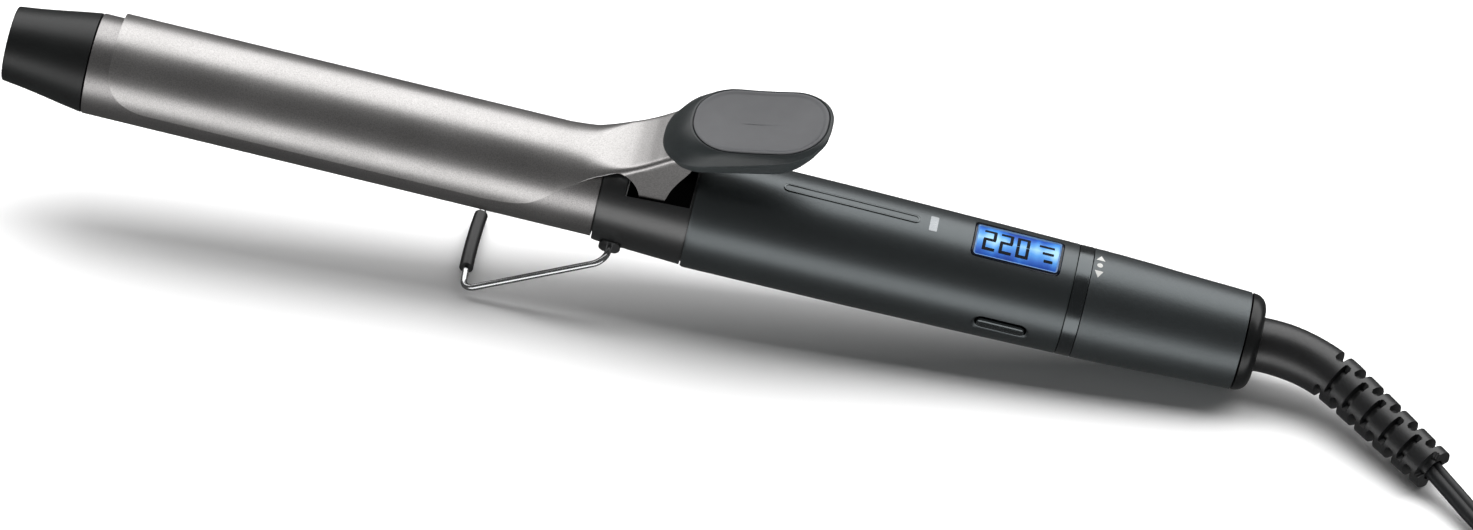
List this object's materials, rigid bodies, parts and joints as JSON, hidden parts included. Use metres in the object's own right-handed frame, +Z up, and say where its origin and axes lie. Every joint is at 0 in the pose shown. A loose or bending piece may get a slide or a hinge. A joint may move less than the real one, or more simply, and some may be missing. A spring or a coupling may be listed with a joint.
{
  "type": "curling iron",
  "caption": "Mains curling iron with a sprung hair clip and thumb lever, a fold-out wire stand, a digital temperature dial, a power button and a swivel cord with its hank and plug.",
  "frame": {"origin": "middle of the iron's footprint on the surface it stands on, without the cord, strain relief, hank and plug", "axes": "+X from the cool tip towards the cord, +Z up, -Y the side with the power button"},
  "size_m": [0.5423, 0.07, 0.0612],
  "materials": {
    "cool_plastic": "matte",
    "barrel_coating": "satin ceramic coating",
    "clip_steel": "satin",
    "aluminium": "extruded",
    "heater_ceramic": "unglazed",
    "collar_plastic": "fine texture",
    "lever_plastic": "satin",
    "pad_plastic": "satin",
    "polished_steel": "polished",
    "soft_touch": "soft-touch lacquer",
    "gloss_black": "gloss",
    "inner_plastic": "moulded",
    "circuit_board": "solder mask",
    "component": "moulded",
    "film_yellow": "gloss",
    "display_blue": "backlit",
    "window_lens": "clear moulding with a printed border",
    "light_guide": "frosted",
    "brass": "nickelled",
    "cord_vinyl": "satin vinyl",
    "tie_fabric": "hook and loop tape",
    "silicone": "sheath"
  },
  "bodies": {
    "root": {"cool_tip": "cool_plastic", "barrel": "barrel_coating", "heat_spreader_upper": "aluminium", "heat_spreader_lower": "aluminium", "ceramic_heater": "heater_ceramic", "thermistor": "brass", "thermal_fuse": "polished_steel", "insulating_bush": "heater_ceramic", "hinge_collar": "collar_plastic", "hinge_pin": "polished_steel", "heater_lead_live": "silicone", "heater_lead_neutral": "silicone", "handle_sleeve": "soft_touch", "chassis": "inner_plastic", "control_board": "circuit_board", "film_capacitor": "film_yellow", "triac": "component", "microcontroller": "component", "display_window": "window_lens", "lcd_panel": "display_blue", "backlight": "light_guide", "display_board": "circuit_board", "power_switch": "component", "switch_board": "circuit_board", "accent_ring": "gloss_black", "rear_spindle": "inner_plastic", "dial_switch": "component", "end_cap": "collar_plastic", "brush_live": "brass", "brush_neutral": "brass", "clip_spring": "polished_steel", "dial_return_spring": "polished_steel", "cord_to_hank": "cord_vinyl", "cord_hank": "cord_vinyl", "cord_to_plug": "cord_vinyl", "cord_tie": "tie_fabric", "plug_relief": "cord_vinyl", "plug_body": "cord_vinyl", "plug_pin_left": "brass", "plug_pin_right": "brass"},
    "clip": {"clip_blade": "clip_steel", "lever_body": "lever_plastic", "thumb_pad": "pad_plastic", "lever_screw_front": "polished_steel", "lever_screw_rear": "polished_steel"},
    "stand": {"stand_wire": "polished_steel", "stand_sleeve": "cool_plastic"},
    "temperature_dial": {"temperature_dial": "soft_touch", "dial_peg": "polished_steel"},
    "cord_swivel": {"swivel_bush": "inner_plastic", "slip_ring_live": "brass", "slip_ring_neutral": "brass", "cord_boot": "cord_vinyl"},
    "power_button": {"power_button": "soft_touch"}
  },
  "joints": [
    {"name": "clip_hinge", "type": "hinge", "parent": "root", "child": "clip", "pos_m": [0.00428, 0, 0.03251], "axis": [0, 1, 0], "range_deg": [0, 21], "stiffness_Nm_per_rad": 0.3, "springref_deg": -28.65, "deforming": ["clip_spring"]},
    {"name": "stand_fold", "type": "hinge", "parent": "root", "child": "stand", "pos_m": [-0.00346, 0, 0.02021], "axis": [0, 1, 0], "range_deg": [0, 22]},
    {"name": "dial_twist", "type": "hinge", "parent": "root", "child": "temperature_dial", "pos_m": [0.14257, 0, 0.01335], "axis": [0.9952, 0, -0.0981], "range_deg": [-15, 15], "stiffness_Nm_per_rad": 0.1, "deforming": ["dial_return_spring"]},
    {"name": "cord_swivel_turn", "type": "hinge", "parent": "root", "child": "cord_swivel", "pos_m": [0.14257, 0, 0.01335], "axis": [0.9952, 0, -0.0981], "continuous": true, "deforming": ["cord_to_hank"]},
    {"name": "power_press", "type": "slide", "parent": "root", "child": "power_button", "axis": [0.0103, 0.9945, 0.104], "range_m": [0, 0.0008], "stiffness_N_per_m": 1500, "springref_m": -0.0006}
  ]
}
